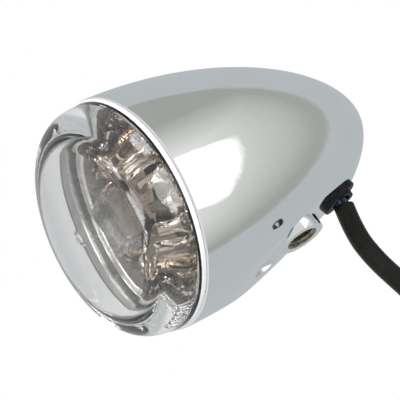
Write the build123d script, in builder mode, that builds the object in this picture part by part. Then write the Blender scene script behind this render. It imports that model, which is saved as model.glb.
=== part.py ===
"""Bullet-style motorcycle turn signal: chrome housing, clear twist-lock lens, LED insert and lead.

Frame, in millimetres: the origin is the centre of the threaded mounting hole in the face of the
boss under the housing, +Z is up, the lens faces -Y and the nose of the housing points to +Y.
A station is a distance behind the rim of the housing, along the bullet's own axis.
"""

import os
from math import cos, degrees, radians, sin, tan

from build123d import *

os.makedirs("parts", exist_ok=True)

# Where the bullet's axis and rim lie from the mounting hole.
AXIS_Z = 25.5
RIM_Y = -39.0

# Housing: a bullet of revolution, its outline one cubic curve from the rim to the nose.
RIM_R = 32.5
BODY_LENGTH = 74.9
SIDE_HANDLE = 42.4
NOSE_HANDLE = 14.0
WALL = 2.3
LIP_ROUND = 0.5
FIT_GAP = 0.02
MOUTH_R = RIM_R - WALL
MOUTH_DEPTH = 7.0

# Flat underneath, which slopes up towards the nose.
FLAT_AT_HOLE = 1.9
FLAT_SLOPE = 0.30
CREASE_ROUND = 2.0

# Mounting boss, its threaded insert, and the level slot that runs forward from it.
BOSS_R = 6.5
BOSS_TOP = 13.0
INSERT_R = 4.5
INSERT_LENGTH = 10.0
INSERT_END_GAP = 0.5
THREAD_R = 3.45
SLOT_FRONT_Y = -17.5
SLOT_HALF_WIDTH = 7.0
SLOT_FLOOR = 2.6
SLOT_EDGE_ROUND = 1.0

# How far below the hole's face the cuts start, and sizes larger than the housing.
CUT_BELOW = 14.0
BEYOND_SIDE = 200.0
BEYOND_END = 60.0

# Three pillars inside that carry the LED insert.
PILLAR_R = 3.4
PILLAR_AT_R = 20.5
PILLAR_ANGLES = (90, 210, 330)
CARRIER_SCREW_R = 1.25
CARRIER_SCREW_LENGTH = 9.5
CARRIER_HOLE_DEPTH = 9.0
CARRIER_HEAD_R = 2.4
CARRIER_HEAD_THICK = 1.8
CARRIER_HEAD_ROUND = 0.7
CARRIER_CLEAR_R = 1.6

# Lens: tapered side wall, rounded shoulder and a shallow domed front.
LENS_R = 31.9
LENS_BASE = -1.4
LENS_APEX = -17.5
LENS_TAPER = 6.0
DOME_R = 63.0
SHOULDER_R = 7.5
LENS_WALL = 3.3
INNER_TAPER = 22.0
FRONT_WALL = 3.0
INNER_DOME_R = 85.0
INNER_SHOULDER_R = 6.0
SKIRT_R = 30.0
SKIRT_INNER_R = 28.6
SKIRT_END = 6.0
SKIRT_ROOT = 0.8
GROOVE_OVERCUT = 1.0

# Pale seal between the lens and the rim.
SEAL_R = 32.25
SEAL_ROUND = 0.3

# Twist lock: three pins in the mouth of the housing run in hooked grooves in the lens skirt.
PIN_R = 0.75
PIN_TIP_R = 29.3
PIN_STATION = 3.8
PIN_ROOT = 0.6
LOCK_ANGLES = (60, 180, 300)
TWIST_RANGE = 24.0
RUN_GAP = 0.1

# LED board and what stands on it.
BOARD_STATION = 7.8
BOARD_THICK = 1.6
BOARD_R = 28.0
LED_R = 2.5
LED_FLANGE_R = 2.9
LED_HEIGHT = 8.6
DOME_TIP = 0.01
LED_LEG = 0.5
LEG_PITCH = 2.54
LEG_HOLE_R = 0.5
LEG_END = 1.4
LEG_IN_BODY = 0.2
FLANGE_THICK = 1.0
LED_RINGS = {"leds_outer": (22.9, 20, 0.0), "leds_inner": (17.0, 16, 1.6)}

# White collar around the LEDs, and the stepped clear block in their middle.
COLLAR_R = 28.2
COLLAR_INNER_R = 26.0
COLLAR_FRONT = 1.0
GUIDE_STEPS = ((6.2, 9.0, -1.5), (4.9, 7.2, -8.0))
GUIDE_CHAMFER = 0.9
GUIDE_CORNER_R = 1.2
GUIDE_HOLLOW = (9.0, 11.0, 2.6)
COLLAR_ROUND = 0.4

# Four white marker LEDs under the block: pitch, then size.
MARKER_PITCH = (4.4, 5.0)
MARKER_SIZE = (3.5, 2.8, 1.9)

# Electronics on the back of the board, each just clear of it.
BACK = BOARD_STATION + BOARD_THICK
BACK_GAP = 0.05
RESISTOR_AT_R = 19.95
RESISTOR_R = 1.1
RESISTOR_LENGTH = 6.0
RESISTOR_LIFT = 1.3
DIODE_R = 1.3
DIODE_LENGTH = 5.0
DIODE_AT = (6.0, 3.0)
DIODE_LIFT = 1.4
CAPACITOR_R = 3.1
CAPACITOR_LENGTH = 5.6
CAPACITOR_ROUND = 0.4
CAPACITOR_AT = 5.2
REGULATOR_SIZE = (6.6, 5.4, 2.3)
REGULATOR_CORNER_R = 0.5
REGULATOR_AT = -8.2

# Carrier cup behind the board.
CUP_R = 27.6
CUP_WALL = 1.6
CUP_FLOOR = 15.6
CUP_FLOOR_THICK = 1.6
CUP_HOLE_R = 5.2
BOARD_SCREW_AT_R = 24.7
BOARD_SCREW_ANGLE = 9
BOARD_SCREW_R = 0.6
BOARD_SCREW_CLEAR = 0.15
BOARD_SCREW_LENGTH = 6.0
BOARD_HEAD_R = 0.95
BOARD_HEAD_THICK = 0.8
BOARD_POST_R = 2.0

# Leads, grommet and outer sleeve of the cable.
LEAD_R = 0.8
LEAD_PITCH = 1.75
LEAD_Z = 21.5
LEAD_BEND_R = 9.0
CABLE_Y = 16.6
GROMMET_BORE_R = 2.75
GROMMET_NECK_R = 3.9
GROMMET_FLANGE_R = 5.6
GROMMET_BOTTOM = 4.9
GROMMET_LENGTH = 7.4
GROMMET_FLANGE_THICK = 1.5
GROMMET_ROUND = 0.6
SLEEVE_TOP = 3.2
LEAD_END = SLEEVE_TOP + 0.2
SLEEVE_R = 2.8

# Coil that the unseen length of the cable is tied into.
COIL_Y = 40.0
COIL_Z = -82.0
COIL_R = 33.0
TURN_PITCH = 5.8
FIRST_TURN_X = -4.4
COIL_X = FIRST_TURN_X + TURN_PITCH / 2
COIL_JOIN_ANGLE = -45.0

# Share of the shorter of two runs that the arc between them may take.
ARC_SHARE = 0.45

# Tie around the coil's turns: gap inside it, its own thickness and half its width.
TIE_GAP = (0.4, 0.7)
TIE_SIZE = (3.0, 3.2)
TIE_ROUND = (0.2, 1.5)
TIE_HALF_WIDTH = 1.8

FORWARD = Axis((0, RIM_Y, AXIS_Z), (0, 1, 0))
DOWN_OF_FLAT = Vector(0, FLAT_SLOPE, -1).normalized()


def save(part, name):
    """Label a finished piece and write it as its own file."""
    part.label = name
    export_step(part, f"parts/{name}.step")


def station(s):
    """Plane square to the bullet's axis, looking towards the nose, with its y axis up."""
    return Plane(origin=(0, RIM_Y + s, AXIS_Z), x_dir=(-1, 0, 0), z_dir=(0, 1, 0))


def flat_plane(y, inside=0.0):
    """Plane on the flat underneath at a given y, or that far inside it, facing outward."""
    on_flat = Vector(0, y, FLAT_AT_HOLE + FLAT_SLOPE * y)
    return Plane(origin=on_flat - DOWN_OF_FLAT * inside, x_dir=(1, 0, 0), z_dir=DOWN_OF_FLAT)


def bullet_outline(inset):
    """Half outline of the housing on the YZ plane, drawn inset from the outer surface."""
    base = AXIS_Z
    rim = (RIM_Y - inset, base + RIM_R - inset)
    nose = (RIM_Y + BODY_LENGTH - inset, base)
    Bezier(rim, (rim[0] + SIDE_HANDLE, rim[1]), (nose[0], base + NOSE_HANDLE - 0.5 * inset), nose)
    Polyline(nose, (rim[0], base), rim)


def dome_outline(apex, radius, side_r, taper):
    """Half outline of a lens dome, closed along the axis and across the base."""
    dome_centre = apex + radius
    slope = tan(radians(taper))
    corner = apex
    for _ in range(20):
        corner_r = side_r - slope * (LENS_BASE - corner)
        corner = dome_centre - (radius**2 - corner_r**2) ** 0.5
    mid_r = corner_r / 2
    mid = dome_centre - (radius**2 - mid_r**2) ** 0.5
    at = [(apex, 0), (mid, mid_r), (corner, corner_r), (LENS_BASE, side_r), (LENS_BASE, 0)]
    points = [(RIM_Y + s, AXIS_Z + r) for s, r in at]
    ThreePointArc(points[0], points[1], points[2])
    Polyline(points[2], points[3], points[4], points[0])


# ---------------------------------------------------------------- housing

with BuildPart() as mount_slot:
    with BuildSketch(Plane.XY.offset(-CUT_BELOW)):
        with Locations((0, SLOT_FRONT_Y + SLOT_HALF_WIDTH)):
            Circle(SLOT_HALF_WIDTH)
        with Locations((0, (SLOT_FRONT_Y + SLOT_HALF_WIDTH) / 2)):
            Rectangle(2 * SLOT_HALF_WIDTH, -(SLOT_FRONT_Y + SLOT_HALF_WIDTH))
        Circle(SLOT_HALF_WIDTH)
    extrude(amount=CUT_BELOW)
    fillet(mount_slot.faces().sort_by(Axis.Z)[-1].edges(), SLOT_EDGE_ROUND)

with BuildPart() as cavity:
    with BuildSketch(Plane.YZ):
        with BuildLine():
            bullet_outline(WALL)
        make_face()
    revolve(axis=FORWARD)
    with BuildSketch(flat_plane(0, inside=WALL)):
        Rectangle(BEYOND_SIDE, BEYOND_SIDE)
    extrude(amount=BEYOND_END, mode=Mode.SUBTRACT)
    # What stays solid inside: the boss, the floor over the slot, the pillars and the grommet land.
    with BuildSketch(Plane.XY.offset(-CUT_BELOW)):
        Circle(BOSS_R)
    extrude(amount=CUT_BELOW + BOSS_TOP, mode=Mode.SUBTRACT)
    with BuildSketch(Plane.XY.offset(-CUT_BELOW)):
        with Locations((0, SLOT_FRONT_Y + SLOT_HALF_WIDTH)):
            Circle(SLOT_HALF_WIDTH + WALL)
        with Locations((0, (SLOT_FRONT_Y + SLOT_HALF_WIDTH) / 2)):
            Rectangle(2 * (SLOT_HALF_WIDTH + WALL), -(SLOT_FRONT_Y + SLOT_HALF_WIDTH))
    extrude(amount=CUT_BELOW + SLOT_FLOOR, mode=Mode.SUBTRACT)
    with BuildSketch(station(CUP_FLOOR + CUP_FLOOR_THICK)):
        with PolarLocations(PILLAR_AT_R, 3, start_angle=PILLAR_ANGLES[0]):
            Circle(PILLAR_R)
    extrude(amount=BEYOND_END, mode=Mode.SUBTRACT)

with BuildPart() as housing:
    with BuildSketch(Plane.YZ):
        with BuildLine():
            bullet_outline(0)
        make_face()
    revolve(axis=FORWARD)
    with BuildSketch(flat_plane(0)):
        Rectangle(BEYOND_SIDE, BEYOND_SIDE)
    extrude(amount=BEYOND_END, mode=Mode.SUBTRACT)
    flat = housing.faces().filter_by(Axis((0, 0, 0), tuple(DOWN_OF_FLAT)))[0]
    fillet(flat.edges(), CREASE_ROUND)
    with BuildSketch(Plane.XY):
        Circle(BOSS_R)
    extrude(amount=BOSS_TOP)
    add(mount_slot.part, mode=Mode.SUBTRACT)
    add(cavity.part, mode=Mode.SUBTRACT)
    with BuildSketch(station(0)):
        Circle(MOUTH_R)
    extrude(amount=MOUTH_DEPTH, mode=Mode.SUBTRACT)
    # Blind bore for the threaded insert, and the hole that the cable grommet fills.
    with BuildSketch(Plane.XY):
        Circle(INSERT_R)
    extrude(amount=INSERT_LENGTH, mode=Mode.SUBTRACT)
    with BuildSketch(Plane.XY):
        with Locations((0, CABLE_Y)):
            Circle(GROMMET_NECK_R + FIT_GAP)
    extrude(amount=LEAD_Z, mode=Mode.SUBTRACT)
    with BuildSketch(station(CUP_FLOOR + CUP_FLOOR_THICK)):
        with PolarLocations(PILLAR_AT_R, 3, start_angle=PILLAR_ANGLES[0]):
            Circle(CARRIER_SCREW_R)
    extrude(amount=CARRIER_HOLE_DEPTH, mode=Mode.SUBTRACT)
    lip = housing.edges().filter_by(GeomType.CIRCLE).group_by(Axis.Y)[0].sort_by(SortBy.RADIUS)
    fillet(lip[-1], LIP_ROUND)
    # Pins of the twist lock, square to the mouth's wall.
    for angle in LOCK_ANGLES:
        out = Vector(cos(radians(angle)), 0, sin(radians(angle)))
        tip = Vector(0, RIM_Y + PIN_STATION, AXIS_Z) + out * PIN_TIP_R
        with BuildSketch(Plane(origin=tip, z_dir=out)):
            Circle(PIN_R)
        extrude(amount=MOUTH_R - PIN_TIP_R + PIN_ROOT)
save(housing.part, "housing")

with BuildPart() as thread_insert:
    with BuildSketch(Plane.XY):
        Circle(INSERT_R - FIT_GAP)
        Circle(THREAD_R, mode=Mode.SUBTRACT)
    extrude(amount=INSERT_LENGTH - INSERT_END_GAP)
save(thread_insert.part, "thread_insert")

# ---------------------------------------------------------------- lens

with BuildPart() as dome_hollow:
    with BuildSketch(Plane.YZ) as hollow_outline:
        with BuildLine():
            dome_outline(LENS_APEX + FRONT_WALL, INNER_DOME_R, LENS_R - LENS_WALL, INNER_TAPER)
        make_face()
        fillet(hollow_outline.vertices().group_by(Axis.X)[1].sort_by(Axis.Y)[-1], INNER_SHOULDER_R)
    revolve(axis=FORWARD)

with BuildPart() as lens:
    with BuildSketch(Plane.YZ) as outer_outline:
        with BuildLine():
            dome_outline(LENS_APEX, DOME_R, LENS_R, LENS_TAPER)
        make_face()
        fillet(outer_outline.vertices().group_by(Axis.X)[1].sort_by(Axis.Y)[-1], SHOULDER_R)
    revolve(axis=FORWARD)
    add(dome_hollow.part, mode=Mode.SUBTRACT)
    # The skirt that enters the housing, rooted in the wall.
    with BuildSketch(station(LENS_BASE - SKIRT_ROOT)):
        Circle(SKIRT_R)
        Circle(SKIRT_INNER_R, mode=Mode.SUBTRACT)
    extrude(amount=SKIRT_END - LENS_BASE + SKIRT_ROOT)
    # Hooked grooves: along the circle from the locked place, then out through the skirt's end.
    half = degrees((PIN_R + RUN_GAP) / SKIRT_R)
    groove_floor = PIN_TIP_R - RUN_GAP
    for angle in LOCK_ANGLES:
        first = angle - TWIST_RANGE - half
        spans = (
            (PIN_STATION - PIN_R - RUN_GAP, PIN_STATION + PIN_R + RUN_GAP, TWIST_RANGE + 2 * half),
            (PIN_STATION, SKIRT_END + GROOVE_OVERCUT, 2 * half),
        )
        for start, end, width in spans:
            with BuildSketch(station(start)):
                with BuildLine():
                    near = [180 - first - width, 180 - first]
                    CenterArc((0, 0), groove_floor, near[0], width)
                    CenterArc((0, 0), SKIRT_R + GROOVE_OVERCUT, near[0], width)
                    for turn in near:
                        edge = (cos(radians(turn)), sin(radians(turn)))
                        Line(
                            (groove_floor * edge[0], groove_floor * edge[1]),
                            ((SKIRT_R + GROOVE_OVERCUT) * edge[0], (SKIRT_R + GROOVE_OVERCUT) * edge[1]),
                        )
                make_face()
            extrude(amount=end - start, mode=Mode.SUBTRACT)
save(lens.part, "lens")

with BuildPart() as rim_seal:
    with BuildSketch(station(LENS_BASE)):
        Circle(SEAL_R)
        Circle(SKIRT_R + FIT_GAP, mode=Mode.SUBTRACT)
    extrude(amount=-LENS_BASE - RUN_GAP / 2)
    fillet(rim_seal.edges().filter_by(GeomType.CIRCLE).sort_by(SortBy.RADIUS)[-2:], SEAL_ROUND)
save(rim_seal.part, "rim_seal")

# ---------------------------------------------------------------- LED insert

with BuildPart() as led_board:
    with BuildSketch(station(BOARD_STATION)):
        Circle(BOARD_R)
        for ring_r, count, _ in LED_RINGS.values():
            with PolarLocations(ring_r, count):
                with Locations((0, LEG_PITCH / 2), (0, -LEG_PITCH / 2)):
                    Circle(LEG_HOLE_R, mode=Mode.SUBTRACT)
        with PolarLocations(BOARD_SCREW_AT_R, 2, start_angle=BOARD_SCREW_ANGLE):
            Circle(BOARD_SCREW_R + BOARD_SCREW_CLEAR, mode=Mode.SUBTRACT)
        with GridLocations(LEAD_PITCH, 1, 3, 1):
            with Locations((0, LEAD_Z - AXIS_Z)):
                Circle(LEG_HOLE_R, mode=Mode.SUBTRACT)
    extrude(amount=BOARD_THICK)
save(led_board.part, "led_board")


def led_group(ring_r, count, stand):
    """One ring of domed 5 mm LEDs on two legs each, as one group of separate solids."""
    foot = BOARD_STATION - stand
    with BuildPart() as group:
        with BuildSketch(station(foot)):
            with PolarLocations(ring_r, count):
                Circle(LED_FLANGE_R)
        extrude(amount=-FLANGE_THICK)
        with BuildSketch(station(foot)):
            with PolarLocations(ring_r, count):
                Circle(LED_R)
        extrude(amount=LED_R - LED_HEIGHT)
        tops = group.faces().filter_by(Axis.Y).group_by(Axis.Y)[0]
        fillet([e for face in tops for e in face.edges()], LED_R - DOME_TIP)
        with BuildSketch(station(foot - LEG_IN_BODY)):
            with PolarLocations(ring_r, count):
                with GridLocations(1, LEG_PITCH, 1, 2):
                    Rectangle(LED_LEG, LED_LEG)
        extrude(amount=stand + BOARD_THICK + LEG_END)
    return group.part


for name, (ring_r, count, stand) in LED_RINGS.items():
    save(led_group(ring_r, count, stand), name)

with BuildPart() as light_guide:
    for half_x, half_z, front in GUIDE_STEPS:
        with BuildSketch(station(BOARD_STATION)):
            RectangleRounded(2 * half_x, 2 * half_z, GUIDE_CORNER_R)
        extrude(amount=front - BOARD_STATION)
    chamfer(light_guide.faces().filter_by(Axis.Y).sort_by(Axis.Y)[0].edges(), GUIDE_CHAMFER)
    with BuildSketch(station(BOARD_STATION)):
        Rectangle(GUIDE_HOLLOW[0], GUIDE_HOLLOW[1])
    extrude(amount=-GUIDE_HOLLOW[2], mode=Mode.SUBTRACT)
save(light_guide.part, "light_guide")

with BuildPart() as marker_leds:
    with BuildSketch(station(BOARD_STATION)):
        with GridLocations(*MARKER_PITCH, 2, 2):
            Rectangle(MARKER_SIZE[0], MARKER_SIZE[1])
    extrude(amount=-MARKER_SIZE[2])
save(marker_leds.part, "marker_leds")

with BuildPart() as led_collar:
    with BuildSketch(station(COLLAR_FRONT)):
        Circle(COLLAR_R)
        Circle(COLLAR_INNER_R, mode=Mode.SUBTRACT)
    extrude(amount=BOARD_STATION - COLLAR_FRONT)
    fillet(led_collar.edges().filter_by(GeomType.CIRCLE).group_by(Axis.Y)[0], COLLAR_ROUND)
save(led_collar.part, "led_collar")

with BuildPart() as resistors:
    for turn in range(6):
        angle = radians(30 + 60 * turn)
        out = Vector(cos(angle), 0, sin(angle)) * RESISTOR_AT_R
        along = Vector(-sin(angle), 0, cos(angle))
        centre = Vector(0, RIM_Y + BACK + RESISTOR_LIFT, AXIS_Z) + out
        with BuildSketch(Plane(origin=centre - along * RESISTOR_LENGTH / 2, z_dir=along)):
            Circle(RESISTOR_R)
        extrude(amount=RESISTOR_LENGTH)
save(resistors.part, "resistors")

with BuildPart() as diodes:
    for side in (-1, 1):
        start = Vector(side * DIODE_AT[0], RIM_Y + BACK + DIODE_LIFT, AXIS_Z + DIODE_AT[1])
        with BuildSketch(Plane(origin=start, z_dir=(0, 0, 1))):
            Circle(DIODE_R)
        extrude(amount=DIODE_LENGTH)
save(diodes.part, "diodes")

with BuildPart() as capacitor:
    with BuildSketch(station(BACK + BACK_GAP)):
        with Locations((0, CAPACITOR_AT)):
            Circle(CAPACITOR_R)
    extrude(amount=CAPACITOR_LENGTH)
    fillet(capacitor.edges().filter_by(GeomType.CIRCLE), CAPACITOR_ROUND)
save(capacitor.part, "capacitor")

with BuildPart() as regulator:
    with BuildSketch(station(BACK + BACK_GAP)):
        with Locations((0, REGULATOR_AT)):
            RectangleRounded(REGULATOR_SIZE[0], REGULATOR_SIZE[1], REGULATOR_CORNER_R)
    extrude(amount=REGULATOR_SIZE[2])
save(regulator.part, "regulator")

with BuildPart() as led_carrier:
    with BuildSketch(station(BACK)):
        Circle(CUP_R)
        Circle(CUP_R - CUP_WALL, mode=Mode.SUBTRACT)
        with PolarLocations(BOARD_SCREW_AT_R, 2, start_angle=BOARD_SCREW_ANGLE):
            Circle(BOARD_POST_R)
    extrude(amount=CUP_FLOOR - BACK + CUP_FLOOR_THICK / 2)
    with BuildSketch(station(CUP_FLOOR)):
        Circle(CUP_R)
        Circle(CUP_HOLE_R, mode=Mode.SUBTRACT)
        with PolarLocations(PILLAR_AT_R, 3, start_angle=PILLAR_ANGLES[0]):
            Circle(CARRIER_CLEAR_R, mode=Mode.SUBTRACT)
    extrude(amount=CUP_FLOOR_THICK)
    with BuildSketch(station(BACK)):
        with PolarLocations(BOARD_SCREW_AT_R, 2, start_angle=BOARD_SCREW_ANGLE):
            Circle(BOARD_SCREW_R + FIT_GAP)
    extrude(amount=CUP_FLOOR - BACK, mode=Mode.SUBTRACT)
save(led_carrier.part, "led_carrier")

with BuildPart() as carrier_screws:
    with BuildSketch(station(CUP_FLOOR)):
        with PolarLocations(PILLAR_AT_R, 3, start_angle=PILLAR_ANGLES[0]):
            Circle(CARRIER_HEAD_R)
    extrude(amount=-CARRIER_HEAD_THICK)
    fillet(carrier_screws.edges().filter_by(GeomType.CIRCLE).group_by(Axis.Y)[0], CARRIER_HEAD_ROUND)
    with BuildSketch(station(CUP_FLOOR)):
        with PolarLocations(PILLAR_AT_R, 3, start_angle=PILLAR_ANGLES[0]):
            Circle(CARRIER_SCREW_R - FIT_GAP)
    extrude(amount=CARRIER_SCREW_LENGTH)
save(carrier_screws.part, "carrier_screws")

with BuildPart() as board_screws:
    with BuildSketch(station(BOARD_STATION)):
        with PolarLocations(BOARD_SCREW_AT_R, 2, start_angle=BOARD_SCREW_ANGLE):
            Circle(BOARD_HEAD_R)
    extrude(amount=-BOARD_HEAD_THICK)
    with BuildSketch(station(BOARD_STATION)):
        with PolarLocations(BOARD_SCREW_AT_R, 2, start_angle=BOARD_SCREW_ANGLE):
            Circle(BOARD_SCREW_R)
    extrude(amount=BOARD_SCREW_LENGTH)
save(board_screws.part, "board_screws")

# ---------------------------------------------------------------- grommet and leads

with BuildPart() as cable_grommet:
    with BuildSketch(flat_plane(CABLE_Y)):
        Circle(GROMMET_FLANGE_R)
    extrude(amount=GROMMET_FLANGE_THICK)
    fillet(cable_grommet.edges().sort_by(Axis.Z)[0], GROMMET_ROUND)
    with BuildSketch(Plane.XY.offset(GROMMET_BOTTOM)):
        with Locations((0, CABLE_Y)):
            Circle(GROMMET_NECK_R)
    extrude(amount=GROMMET_LENGTH)
    with BuildSketch(Plane.XY.offset(GROMMET_BOTTOM)):
        with Locations((0, CABLE_Y)):
            Circle(GROMMET_BORE_R)
    extrude(amount=BEYOND_END, both=True, mode=Mode.SUBTRACT)
save(cable_grommet.part, "cable_grommet")

lead_x = {"lead_violet": -LEAD_PITCH, "lead_blue": 0.0, "lead_black": LEAD_PITCH}
for name, x in lead_x.items():
    with BuildPart() as lead:
        start_y = RIM_Y + BACK + BACK_GAP
        with BuildLine() as route:
            FilletPolyline((x, start_y, LEAD_Z), (x, CABLE_Y, LEAD_Z), (x, CABLE_Y, LEAD_END), radius=LEAD_BEND_R)
        with BuildSketch(Plane(origin=(x, start_y, LEAD_Z), z_dir=(0, 1, 0))):
            Circle(LEAD_R)
        sweep(path=route.line)
    save(lead.part, name)

# ---------------------------------------------------------------- free cable, hanging


def on_coil(angle, x):
    """A point on the coil's circle: 0 degrees is its front, heading down, and 90 its foot."""
    turn = radians(angle)
    return (x, COIL_Y - COIL_R * cos(turn), COIL_Z - COIL_R * sin(turn))


# Route of the sleeve from the grommet, down and gently back, to where it joins its coil.
SLEEVE_ROUTE = [
    (0, CABLE_Y, SLEEVE_TOP),
    (0, 14.5, -4.6),
    (0, 15.0, -13.6),
    (0, 17.4, -22.6),
    (-0.5, 20.4, -32.2),
    (-1.8, 22.4, -42.0),
    (-3.4, 20.9, -51.2),
    on_coil(COIL_JOIN_ANGLE, FIRST_TURN_X),
]


def corner_radii(points):
    """The largest arc that each corner's two runs allow."""
    radii = []
    for a, b, c in zip(points, points[1:], points[2:]):
        into = Vector(b) - Vector(a)
        out = Vector(c) - Vector(b)
        turn = radians(into.get_angle(out))
        radii.append(ARC_SHARE * min(into.length, out.length) / tan(turn / 2))
    return radii


with BuildPart() as cable_sleeve:
    with BuildLine() as sleeve_line:
        FilletPolyline(*SLEEVE_ROUTE, radius=corner_radii(SLEEVE_ROUTE))
    with BuildSketch(Plane(origin=SLEEVE_ROUTE[0], z_dir=sleeve_line.line % 0)):
        Circle(SLEEVE_R)
    sweep(path=sleeve_line.line)
save(cable_sleeve.part, "cable_sleeve")

with BuildPart() as sleeve_coil:
    with BuildSketch(Plane.XY.offset(COIL_Z)):
        with Locations((COIL_X, COIL_Y + COIL_R)):
            RectangleRounded(2 * SLEEVE_R + TURN_PITCH, 2 * SLEEVE_R + 0.1, SLEEVE_R)
    revolve(axis=Axis((0, COIL_Y, COIL_Z), (1, 0, 0)))
save(sleeve_coil.part, "sleeve_coil")

with BuildPart() as coil_tie:
    with BuildSketch(Plane.XY.offset(COIL_Z)):
        with Locations((COIL_X, COIL_Y + COIL_R)):
            RectangleRounded(
                2 * SLEEVE_R + TURN_PITCH + TIE_SIZE[0], 2 * SLEEVE_R + TIE_SIZE[1], SLEEVE_R + TIE_ROUND[1]
            )
            RectangleRounded(
                2 * SLEEVE_R + TURN_PITCH + TIE_GAP[0],
                2 * SLEEVE_R + TIE_GAP[1],
                SLEEVE_R + TIE_ROUND[0],
                mode=Mode.SUBTRACT,
            )
    extrude(amount=TIE_HALF_WIDTH, both=True)
save(coil_tie.part, "coil_tie")

# The far end: the sleeve leaves the side of the coil, hangs down, and its leads come out of a boot.
TAIL_ROUTE = [
    on_coil(-72, 3.2),
    on_coil(-49, 5.4),
    on_coil(-24.5, 7.6),
    (8.4, COIL_Y - COIL_R - 0.2, COIL_Z + 0.5),
    (8.6, COIL_Y - COIL_R + 0.3, COIL_Z - 10.5),
]
END_X, END_Y, END_Z = TAIL_ROUTE[-1]
BOOT_LENGTH = 11.0
BOOT_GAP = 0.8
BOOT_WALL = 0.4
BOOT_TAPER = 3.0
TAIL_LENGTH = 18.0
TAIL_R = 0.9
TAIL_PITCH = 1.9
CONNECTOR_PITCH = 4.6
CONNECTOR_STEPS = ((2.1, 10.0), (1.6, 2.0), (2.0, 5.0))

with BuildPart() as sleeve_tail:
    with BuildLine() as tail_line:
        FilletPolyline(*TAIL_ROUTE, radius=corner_radii(TAIL_ROUTE))
    with BuildSketch(Plane(origin=TAIL_ROUTE[0], z_dir=tail_line.line % 0)):
        Circle(SLEEVE_R)
    sweep(path=tail_line.line)
save(sleeve_tail.part, "sleeve_tail")

with BuildPart() as sleeve_boot:
    with BuildSketch(Plane.XY.offset(END_Z - BOOT_GAP)):
        with Locations((END_X, END_Y)):
            Circle(SLEEVE_R + BOOT_WALL)
    extrude(amount=-BOOT_LENGTH, taper=BOOT_TAPER)
save(sleeve_boot.part, "sleeve_boot")

tails = {"tail_violet": -1, "tail_blue": 0, "tail_black": 1}
TAIL_TOP = END_Z - BOOT_GAP - BOOT_LENGTH
for name, side in tails.items():
    with BuildPart() as tail:
        with BuildSketch(Plane.XY.offset(TAIL_TOP)):
            with Locations((END_X, END_Y + side * TAIL_PITCH)):
                Circle(TAIL_R)
        with BuildSketch(Plane.XY.offset(TAIL_TOP - TAIL_LENGTH)):
            with Locations((END_X, END_Y + side * CONNECTOR_PITCH)):
                Circle(TAIL_R)
        loft()
    save(tail.part, name)

with BuildPart() as bullet_connectors:
    for side in tails.values():
        start = TAIL_TOP - TAIL_LENGTH
        for radius, length in CONNECTOR_STEPS:
            with BuildSketch(Plane.XY.offset(start)):
                with Locations((END_X, END_Y + side * CONNECTOR_PITCH)):
                    Circle(radius)
            extrude(amount=-length)
            start -= length
save(bullet_connectors.part, "bullet_connectors")
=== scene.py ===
from math import cos, pi, radians, sin

import bpy
from mathutils import Matrix, Vector


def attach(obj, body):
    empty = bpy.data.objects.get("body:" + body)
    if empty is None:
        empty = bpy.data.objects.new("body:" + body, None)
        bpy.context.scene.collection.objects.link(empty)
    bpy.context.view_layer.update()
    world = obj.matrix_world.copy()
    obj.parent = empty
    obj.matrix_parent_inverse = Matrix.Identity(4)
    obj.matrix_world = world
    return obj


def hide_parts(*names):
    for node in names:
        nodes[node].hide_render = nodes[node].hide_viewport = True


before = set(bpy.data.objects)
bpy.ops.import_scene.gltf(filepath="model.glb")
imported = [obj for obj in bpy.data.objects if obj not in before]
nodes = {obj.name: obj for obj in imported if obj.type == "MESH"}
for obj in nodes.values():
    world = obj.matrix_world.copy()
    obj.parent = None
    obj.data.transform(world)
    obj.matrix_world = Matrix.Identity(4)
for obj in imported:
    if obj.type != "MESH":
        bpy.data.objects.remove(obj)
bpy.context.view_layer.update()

MM = 0.001

# The bullet's axis and rim, from the mounting hole, as in the CAD model.
AXIS_Z = 25.5
RIM_Y = -39.0


# ---------------------------------------------------------------- camera

AIM = Vector((-3.7, -16.9, 23.1)) * MM
CAMERA_RIGHT = Vector((0.2799, 0.7929, -0.5412))
CAMERA_UP = Vector((0.5147, 0.3519, 0.7818))
CAMERA_BACK = Vector((0.8104, -0.4974, -0.3097))
CAMERA_DISTANCE = 893.4 * MM
CAMERA_LENS = 304.7
SENSOR_WIDTH = 36.0
CLIP_START = 0.01
CLEAR_BOUNCES = 32
MIRROR_BOUNCES = 16

camera_data = bpy.data.cameras.new("camera")
camera_data.sensor_width = SENSOR_WIDTH
camera_data.lens = CAMERA_LENS
camera_data.clip_start = CLIP_START
camera = bpy.data.objects.new("camera", camera_data)
bpy.context.scene.collection.objects.link(camera)
turn = Matrix((CAMERA_RIGHT, CAMERA_UP, CAMERA_BACK)).transposed()
camera.matrix_world = Matrix.Translation(AIM + CAMERA_BACK * CAMERA_DISTANCE) @ turn.to_4x4()
bpy.context.scene.camera = camera

scene = bpy.context.scene
scene.view_settings.view_transform = "Standard"
scene.view_settings.look = "None"
# Enough light bounces to see through the lens, the LEDs and the block behind one another.
scene.cycles.max_bounces = CLEAR_BOUNCES
scene.cycles.transmission_bounces = CLEAR_BOUNCES
scene.cycles.glossy_bounces = MIRROR_BOUNCES


# ---------------------------------------------------------------- node helpers


def linear(r, g, b):
    """Scene colour of a display colour given from 0 to 255."""
    shares = (v / 255 for v in (r, g, b))
    return (*(v / 12.92 if v <= 0.04045 else ((v + 0.055) / 1.055) ** 2.4 for v in shares), 1.0)


def link(tree, out, into):
    tree.links.new(out, into)


def math_node(tree, operation, a, b=0.0, clamp=False):
    node = tree.nodes.new("ShaderNodeMath")
    node.operation = operation
    node.use_clamp = clamp
    for socket, value in zip(node.inputs, (a, b)):
        if isinstance(value, (int, float)):
            socket.default_value = value
        else:
            link(tree, value, socket)
    return node.outputs[0]


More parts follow.
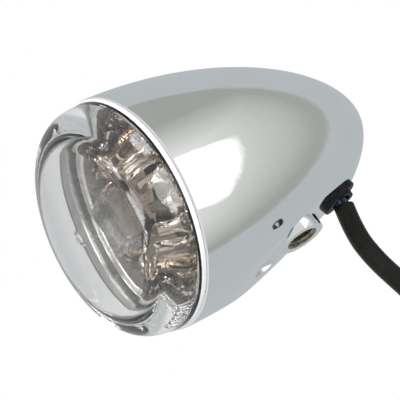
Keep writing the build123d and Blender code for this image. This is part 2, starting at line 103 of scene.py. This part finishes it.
def map_range(tree, value, low, high, to_low, to_high):
    node = tree.nodes.new("ShaderNodeMapRange")
    node.clamp = True
    link(tree, value, node.inputs["Value"])
    for name, number in (("From Min", low), ("From Max", high), ("To Min", to_low), ("To Max", to_high)):
        node.inputs[name].default_value = number
    return node.outputs["Result"]


def mix_colour(tree, share, a, b):
    """Colour a where share is 0, b where it is 1. Sockets 6, 7 and 2 are the node's colours."""
    node = tree.nodes.new("ShaderNodeMix")
    node.data_type = "RGBA"
    if isinstance(share, (int, float)):
        node.inputs["Factor"].default_value = share
    else:
        link(tree, share, node.inputs["Factor"])
    for socket, value in ((node.inputs[6], a), (node.inputs[7], b)):
        if isinstance(value, tuple):
            socket.default_value = value
        else:
            link(tree, value, socket)
    return node.outputs[2]


# ---------------------------------------------------------------- studio: surroundings, floor, lamps

# A plain studio: pale surroundings, a light front, a grey wall on the right and one soft box before it.
# Spans are (from, to, soft edge) and fades (from, to), in degrees. Azimuth 0 is straight ahead of the
# lens and 90 to its right.
PALE = linear(185, 190, 192)
FRONT = linear(225, 225, 225)
WALL_NEAR = linear(230, 232, 228)
WALL_FAR = linear(165, 168, 163)
SOFT_BOX = (2.5, 2.5, 2.5, 1.0)
WHITE_SWEEP = (1.0, 1.0, 1.0, 1.0)
FRONT_SPAN = (-100, 105, 10)
WALL_SPAN = (112, 170, 4)
WALL_FADE = (125, 165)
WALL_HEIGHT_FADE = (10, 40)
BOX_SPAN = (112, 130, 8)
BOX_HEIGHT = (-30, 5, 5)


def band(tree, value, low, high, edge):
    """1 between low and high, falling to 0 over the edge on either side."""
    rise = map_range(tree, value, low - edge, low, 0.0, 1.0)
    fall = map_range(tree, value, high, high + edge, 1.0, 0.0)
    return math_node(tree, "MULTIPLY", rise, fall)


def build_world():
    world = bpy.data.worlds.new("studio")
    world.use_nodes = True
    tree = world.node_tree
    tree.nodes.clear()
    where = tree.nodes.new("ShaderNodeTexCoord")
    parts = tree.nodes.new("ShaderNodeSeparateXYZ")
    link(tree, where.outputs["Generated"], parts.inputs[0])
    x, y, z = parts.outputs
    turn = math_node(tree, "ARCTAN2", x, math_node(tree, "MULTIPLY", y, -1.0))
    azimuth = math_node(tree, "MULTIPLY", turn, 180 / pi)
    elevation = math_node(tree, "MULTIPLY", math_node(tree, "ARCSINE", z), 180 / pi)
    colour = mix_colour(tree, band(tree, azimuth, *FRONT_SPAN), PALE, FRONT)
    along = map_range(tree, azimuth, *WALL_FADE, 0.0, 1.0)
    up = map_range(tree, elevation, *WALL_HEIGHT_FADE, 0.0, 1.0)
    wall = mix_colour(tree, math_node(tree, "MAXIMUM", along, up), WALL_NEAR, WALL_FAR)
    colour = mix_colour(tree, band(tree, azimuth, *WALL_SPAN), colour, wall)
    box = math_node(tree, "MULTIPLY", band(tree, azimuth, *BOX_SPAN), band(tree, elevation, *BOX_HEIGHT))
    colour = mix_colour(tree, box, colour, SOFT_BOX)
    # Seen directly, the surroundings are a plain white sweep.
    path = tree.nodes.new("ShaderNodeLightPath")
    colour = mix_colour(tree, path.outputs["Is Camera Ray"], colour, WHITE_SWEEP)
    background = tree.nodes.new("ShaderNodeBackground")
    link(tree, colour, background.inputs["Color"])
    out = tree.nodes.new("ShaderNodeOutputWorld")
    link(tree, background.outputs[0], out.inputs["Surface"])
    scene.world = world


build_world()

FLOOR_Z = -300 * MM
FLOOR_SIZE = 6.0
FLOOR_GREYS = ((0.80, 0.80, 0.80, 1), (0.83, 0.83, 0.83, 1))
FLOOR_GRAIN = 40
FLOOR_ROUGHNESS = 0.9


def build_floor():
    bpy.ops.mesh.primitive_plane_add(size=FLOOR_SIZE, location=(0, 0, FLOOR_Z))
    floor = bpy.context.object
    floor.name = "floor"
    mat = bpy.data.materials.new("floor_paper")
    mat.use_nodes = True
    tree = mat.node_tree
    p = tree.nodes["Principled BSDF"]
    grain = tree.nodes.new("ShaderNodeTexNoise")
    grain.inputs["Scale"].default_value = FLOOR_GRAIN
    link(tree, mix_colour(tree, grain.outputs["Fac"], *FLOOR_GREYS), p.inputs["Base Color"])
    p.inputs["Roughness"].default_value = FLOOR_ROUGHNESS
    floor.data.materials.append(mat)
    floor.visible_glossy = False
    floor.visible_transmission = False


build_floor()


def area_lamp(name, place, size, watts):
    data = bpy.data.lights.new(name, "AREA")
    data.shape = "DISK"
    data.size = size
    data.energy = watts
    lamp = bpy.data.objects.new(name, data)
    scene.collection.objects.link(lamp)
    lamp.location = place
    lamp.rotation_euler = (Vector(place) - AIM).to_track_quat("Z", "Y").to_euler()
    lamp.visible_glossy = False


# Lamps: place and size in metres, power in watts.
KEY_LAMP = ((0.9, -0.9, 0.9), 0.8, 14)
FILL_LAMP = ((0.9, -0.6, -0.15), 0.7, 7)
area_lamp("key_lamp", *KEY_LAMP)
area_lamp("fill_lamp", *FILL_LAMP)


# ---------------------------------------------------------------- materials


NOISE_ROUGHNESS = 0.55
PATCH_SPAN = (0.35, 0.65)
FINE_SPAN = (0.3, 0.7)
FINE_SCALE = 2.3
FINE_DETAIL = 6.0


def noise(tree, scale, detail=4.0):
    """Noise in the object's own place, in lumps of 1 / scale metres."""
    where = tree.nodes.new("ShaderNodeTexCoord")
    node = tree.nodes.new("ShaderNodeTexNoise")
    node.inputs["Scale"].default_value = scale
    node.inputs["Detail"].default_value = detail
    node.inputs["Roughness"].default_value = NOISE_ROUGHNESS
    link(tree, where.outputs["Object"], node.inputs["Vector"])
    return node.outputs["Fac"]


def material(name, colour, other, rough, metallic=0.0, lump=300.0, bump=0.0, bump_scale=2000.0, **inputs):
    """A Principled material whose colour, roughness and surface vary with noise. rough is (low, high)."""
    mat = bpy.data.materials.new(name)
    mat.use_nodes = True
    tree = mat.node_tree
    p = tree.nodes["Principled BSDF"]
    patches = map_range(tree, noise(tree, lump), *PATCH_SPAN, 0.0, 1.0)
    link(tree, mix_colour(tree, patches, colour, other), p.inputs["Base Color"])
    fine = noise(tree, lump * FINE_SCALE, detail=FINE_DETAIL)
    link(tree, map_range(tree, fine, *FINE_SPAN, *rough), p.inputs["Roughness"])
    p.inputs["Metallic"].default_value = metallic
    if bump:
        node = tree.nodes.new("ShaderNodeBump")
        node.inputs["Strength"].default_value = 1.0
        node.inputs["Distance"].default_value = bump
        link(tree, noise(tree, bump_scale), node.inputs["Height"])
        link(tree, node.outputs[0], p.inputs["Normal"])
    for key, value in inputs.items():
        p.inputs[key.replace("_", " ")].default_value = value
    return mat


CHROME = material(
    "chrome",
    (0.93, 0.935, 0.94, 1),
    (0.90, 0.905, 0.91, 1),
    (0.02, 0.06),
    metallic=1.0,
    lump=60,
    bump=0.000002,
    bump_scale=120,
)
# A darker copy of the brass below, for the insert deep in the mounting hole: the hole's shade is painted
# into its colour.
BRASS_WITH_PAINTED_SHADE = material(
    "brass_painted_shade", (0.32, 0.29, 0.23, 1), (0.17, 0.15, 0.12, 1), (0.18, 0.36), metallic=1.0, lump=700
)
REFLECTOR = material(
    "reflector", (0.72, 0.71, 0.68, 1), (0.66, 0.65, 0.62, 1), (0.22, 0.32), metallic=0.6, lump=120
)
BRASS = material(
    "brass", (0.60, 0.53, 0.42, 1), (0.42, 0.36, 0.28, 1), (0.14, 0.32), metallic=1.0, lump=700
)
CLEAR = material(
    "clear_lens",
    (1, 1, 1, 1),
    (0.99, 0.99, 0.99, 1),
    (0.0, 0.015),
    lump=80,
    IOR=1.49,
    Transmission_Weight=1.0,
)
SEAL = material(
    "seal_rubber", (0.86, 0.86, 0.86, 1), (0.78, 0.78, 0.79, 1), (0.35, 0.5), lump=500, bump=0.00002
)
BOARD = material(
    "circuit_board", (0.20, 0.145, 0.11, 1), (0.50, 0.41, 0.34, 1), (0.3, 0.5), lump=900, bump=0.00008
)
EPOXY = material(
    "led_epoxy",
    (0.90, 0.83, 0.75, 1),
    (0.81, 0.71, 0.60, 1),
    (0.0, 0.04),
    lump=500,
    IOR=1.53,
    Transmission_Weight=1.0,
)
GUIDE = material(
    "clear_guide",
    (0.95, 0.945, 0.91, 1),
    (0.90, 0.895, 0.86, 1),
    (0.22, 0.36),
    lump=400,
    IOR=1.5,
    Transmission_Weight=1.0,
)
WHITE = material(
    "white_plastic", (0.80, 0.79, 0.74, 1), (0.72, 0.71, 0.66, 1), (0.35, 0.55), lump=300, bump=0.00002
)
COMPONENT = material(
    "component_body", (0.35, 0.27, 0.18, 1), (0.28, 0.21, 0.14, 1), (0.3, 0.45), lump=700
)
BLACK_PLASTIC = material(
    "black_plastic",
    (0.010, 0.010, 0.011, 1),
    (0.016, 0.016, 0.017, 1),
    (0.35, 0.55),
    lump=500,
    bump=0.00002,
    Specular_IOR_Level=0.35,
)
CAN = material(
    "capacitor_can", (0.70, 0.71, 0.73, 1), (0.6, 0.61, 0.63, 1), (0.25, 0.4), metallic=1.0, lump=500
)
STEEL = material(
    "screw_steel", (0.62, 0.62, 0.63, 1), (0.5, 0.5, 0.51, 1), (0.25, 0.4), metallic=1.0, lump=900
)
RUBBER = material(
    "black_rubber",
    (0.006, 0.006, 0.007, 1),
    (0.011, 0.011, 0.012, 1),
    (0.35, 0.55),
    lump=600,
    bump=0.00003,
    Specular_IOR_Level=0.15,
)
VIOLET = material("violet_wire", (0.09, 0.05, 0.22, 1), (0.11, 0.06, 0.26, 1), (0.3, 0.42), lump=900)
BLUE = material("blue_wire", (0.10, 0.16, 0.42, 1), (0.12, 0.19, 0.48, 1), (0.3, 0.42), lump=900)
BLACK_WIRE = material(
    "black_wire", (0.02, 0.02, 0.021, 1), (0.03, 0.03, 0.032, 1), (0.32, 0.45), lump=900
)
SLEEVE = material(
    "black_sleeve",
    (0.007, 0.007, 0.006, 1),
    (0.012, 0.012, 0.010, 1),
    (0.26, 0.38),
    lump=250,
    bump=0.00002,
    bump_scale=900,
    Specular_IOR_Level=0.14,
)
LEAD_FRAME = material(
    "lead_frame", (0.78, 0.76, 0.72, 1), (0.7, 0.68, 0.64, 1), (0.15, 0.3), metallic=1.0, lump=900
)

FINISHES = {
    "housing": CHROME,
    "thread_insert": BRASS_WITH_PAINTED_SHADE,
    "lens": CLEAR,
    "rim_seal": SEAL,
    "led_board": BOARD,
    "leds_outer": EPOXY,
    "leds_inner": EPOXY,
    "light_guide": GUIDE,
    "marker_leds": WHITE,
    "resistors": COMPONENT,
    "diodes": BLACK_PLASTIC,
    "capacitor": CAN,
    "regulator": BLACK_PLASTIC,
    "led_collar": REFLECTOR,
    "led_carrier": WHITE,
    "carrier_screws": STEEL,
    "board_screws": STEEL,
    "cable_grommet": RUBBER,
    "lead_violet": VIOLET,
    "lead_blue": BLUE,
    "lead_black": BLACK_WIRE,
    "coil_tie": BLACK_PLASTIC,
    "sleeve_boot": RUBBER,
    "tail_violet": VIOLET,
    "tail_blue": BLUE,
    "tail_black": BLACK_WIRE,
    "bullet_connectors": BRASS,
}
for name, mat in FINISHES.items():
    nodes[name].data.materials.clear()
    nodes[name].data.materials.append(mat)


# ---------------------------------------------------------------- pieces finer than the CAD


def piece(name, verts, faces, mat, body, slot, smooth=30.0):
    """A mesh piece, its points given in millimetres in the shared frame."""
    data = bpy.data.meshes.new(name)
    data.from_pydata([tuple(c * MM for c in v) for v in verts], [], faces)
    data.validate()
    data.materials.append(mat)
    made = bpy.data.objects.new(name, data)
    scene.collection.objects.link(made)
    bpy.context.view_layer.objects.active = made
    made.select_set(True)
    bpy.ops.object.mode_set(mode="EDIT")
    bpy.ops.mesh.select_all(action="SELECT")
    bpy.ops.mesh.normals_make_consistent(inside=False)
    bpy.ops.object.mode_set(mode="OBJECT")
    bpy.ops.object.shade_auto_smooth(angle=radians(smooth))
    made.select_set(False)
    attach(made, body)
    return made


# The insert with its real thread: a helical groove between the minor and major radius.
THREAD_MINOR, THREAD_MAJOR = 3.45, 4.0
THREAD_PITCH = 1.25
THREAD_TOP = 9.5
CREST_FLAT = 0.12
INSERT_OUTER = 4.46
MOUTH_R = 4.2
THREAD_ROWS, THREAD_COLUMNS = 114, 72


def thread_radius(z, share):
    wave = abs(((z / THREAD_PITCH - share) % 1.0) * 2 - 1)
    crest = min(1.0, max(0.0, (wave - CREST_FLAT) / (1 - 2 * CREST_FLAT)))
    return max(THREAD_MINOR + (THREAD_MAJOR - THREAD_MINOR) * crest, MOUTH_R - z)


def ring_mesh(rings):
    """Faces that join rings of equally many points, and close the last ring to the first."""
    count = len(rings[0])
    verts = [v for ring in rings for v in ring]
    faces = []
    for i in range(len(rings)):
        a, b = i * count, (i + 1) % len(rings) * count
        faces += [(a + k, a + (k + 1) % count, b + (k + 1) % count, b + k) for k in range(count)]
    return verts, faces


def circle(radius, z, count):
    return [(radius * cos(2 * pi * k / count), radius * sin(2 * pi * k / count), z) for k in range(count)]


rings = []
for i in range(THREAD_ROWS + 1):
    z = THREAD_TOP * i / THREAD_ROWS
    ring = []
    for k in range(THREAD_COLUMNS):
        r = thread_radius(z, k / THREAD_COLUMNS)
        ring.append((r * cos(2 * pi * k / THREAD_COLUMNS), r * sin(2 * pi * k / THREAD_COLUMNS), z))
    rings.append(ring)
rings += [circle(INSERT_OUTER, THREAD_TOP, THREAD_COLUMNS), circle(INSERT_OUTER, 0.0, THREAD_COLUMNS)]
# The insert's brass is darkened with painted shade of the hole.
thread = piece("threaded_insert", *ring_mesh(rings), BRASS_WITH_PAINTED_SHADE, "housing", "brass")
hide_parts("thread_insert")

# Lead frames inside the LEDs: an anvil with its cup, and a post beside it.
BOARD_STATION = 7.8
LED_RINGS = (("lead_frames_outer", 22.9, 20, 0.0), ("lead_frames_inner", 17.0, 16, 1.6))
FRAME_THICK = 0.25
ANVIL = (
    (-1.45, 0.9),
    (-1.45, 2.6),
    (-0.95, 4.4),
    (-0.95, 5.0),
    (0.45, 5.0),
    (0.3, 3.4),
    (-0.35, 2.4),
    (-0.9, 0.9),
)
POST = ((0.95, 0.9), (0.95, 2.4), (0.75, 3.6), (0.7, 4.8), (1.25, 4.8), (1.45, 3.4), (1.5, 0.9))


def lead_frames(name, ring_r, count, stand):
    verts, faces = [], []
    for led in range(count):
        angle = 2 * pi * led / count
        out = Vector((-cos(angle), 0, sin(angle)))
        side = Vector((sin(angle), 0, cos(angle)))
        foot = Vector((0, RIM_Y + BOARD_STATION - stand, AXIS_Z)) + out * ring_r
        for outline in (ANVIL, POST):
            start, n = len(verts), len(outline)
            for depth in (-FRAME_THICK, FRAME_THICK):
                verts += [tuple(foot + side * a + out * depth + Vector((0, -h, 0))) for a, h in outline]
            faces.append(tuple(range(start, start + n)))
            faces.append(tuple(range(start + 2 * n - 1, start + n - 1, -1)))
            for k in range(n):
                after = (k + 1) % n
                faces.append((start + k, start + after, start + n + after, start + n + k))
    return piece(name, verts, faces, LEAD_FRAME, "housing", "screw_steel")


for group in LED_RINGS:
    lead_frames(*group)

# Clear ribs of the lens's lock, low inside its side wall.
RIB_ANGLES = (256.0, 260.5, 265.0, 269.5, 274.0)
RIB_HALF_ANGLE = 1.3
RIB_R = (26.9, 28.5)
RIB_STATIONS = (-4.8, 0.4)
RIB_ROUND = 0.25
RIB_ROUND_STEPS = 3


def lens_ribs():
    verts, faces = [], []
    for middle in RIB_ANGLES:
        start = len(verts)
        for s in RIB_STATIONS:
            for r, turn in ((RIB_R[0], -1), (RIB_R[1], -1), (RIB_R[1], 1), (RIB_R[0], 1)):
                a = radians(middle + turn * RIB_HALF_ANGLE)
                verts.append((r * cos(a), RIM_Y + s, AXIS_Z + r * sin(a)))
        near, far = range(start, start + 4), range(start + 4, start + 8)
        faces += [tuple(near), tuple(reversed(far))]
        faces += [(near[k], near[(k + 1) % 4], far[(k + 1) % 4], far[k]) for k in range(4)]
    ribs = piece("lens_ribs", verts, faces, CLEAR, "lens", "clear_lens")
    bevel = ribs.modifiers.new("bevel", "BEVEL")
    bevel.width = RIB_ROUND * MM
    bevel.segments = RIB_ROUND_STEPS


lens_ribs()


# ---------------------------------------------------------------- cable

CABLE_Y = 16.6
SLEEVE_R = 2.8
COIL_Y = 40.0
COIL_Z = -82.0
COIL_R = 33.0
COIL_CONTROL_R = 33.8
STRAND_X = (-4.4, 1.4, 7.8)
CROSS_FROM, CROSS_TO = 215.0, 285.0
COIL_START, COIL_STEPS = -45.0, 28
COIL_STEP = 25.7
CABLE_ROUNDNESS = 8
CABLE_STEPS = 10


def on_coil(angle, x):
    t = radians(angle)
    return (x, COIL_Y - COIL_CONTROL_R * cos(t), COIL_Z - COIL_CONTROL_R * sin(t))


def strand_x(angle):
    """Where along the coil's axis the cable lies after turning that far."""
    x = STRAND_X[0]
    for turn in (0, 1):
        share = (angle - 360 * turn - CROSS_FROM) / (CROSS_TO - CROSS_FROM)
        x += (STRAND_X[turn + 1] - STRAND_X[turn]) * min(1.0, max(0.0, share))
    return x


route = [
    (0, CABLE_Y, 3.2),
    (0, 14.5, -4.6),
    (0, 15.0, -13.6),
    (0, 17.4, -22.6),
    (-0.5, 20.4, -32.2),
    (-1.8, 22.4, -42.0),
    (-3.4, 20.9, -51.2),
]
for step in range(COIL_STEPS):
    angle = COIL_START + COIL_STEP * step
    route.append(on_coil(angle, strand_x(angle)))
route += [
    on_coil(-24.5, STRAND_X[2] + 0.2),
    (8.4, COIL_Y - COIL_R - 0.2, COIL_Z + 0.5),
    (8.6, COIL_Y - COIL_R + 0.3, COIL_Z - 10.5),
]


def build_cable():
    data = bpy.data.curves.new("cable", "CURVE")
    data.dimensions = "3D"
    data.bevel_depth = SLEEVE_R * MM
    data.bevel_resolution = CABLE_ROUNDNESS
    data.use_fill_caps = True
    data.resolution_u = CABLE_STEPS
    spline = data.splines.new("NURBS")
    spline.points.add(len(route) - 1)
    for point, place in zip(spline.points, route):
        point.co = (place[0] * MM, place[1] * MM, place[2] * MM, 1.0)
    spline.order_u = 3
    spline.use_endpoint_u = True
    cable = bpy.data.objects.new("cable", data)
    scene.collection.objects.link(cable)
    cable.data.materials.append(SLEEVE)
    # The whole cable is kept out of reflections, so that the stored coil doesn't show in the chrome.
    cable.visible_glossy = False
    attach(cable, "housing")
    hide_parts("cable_sleeve", "sleeve_coil", "sleeve_tail")
    return cable


cable = build_cable()
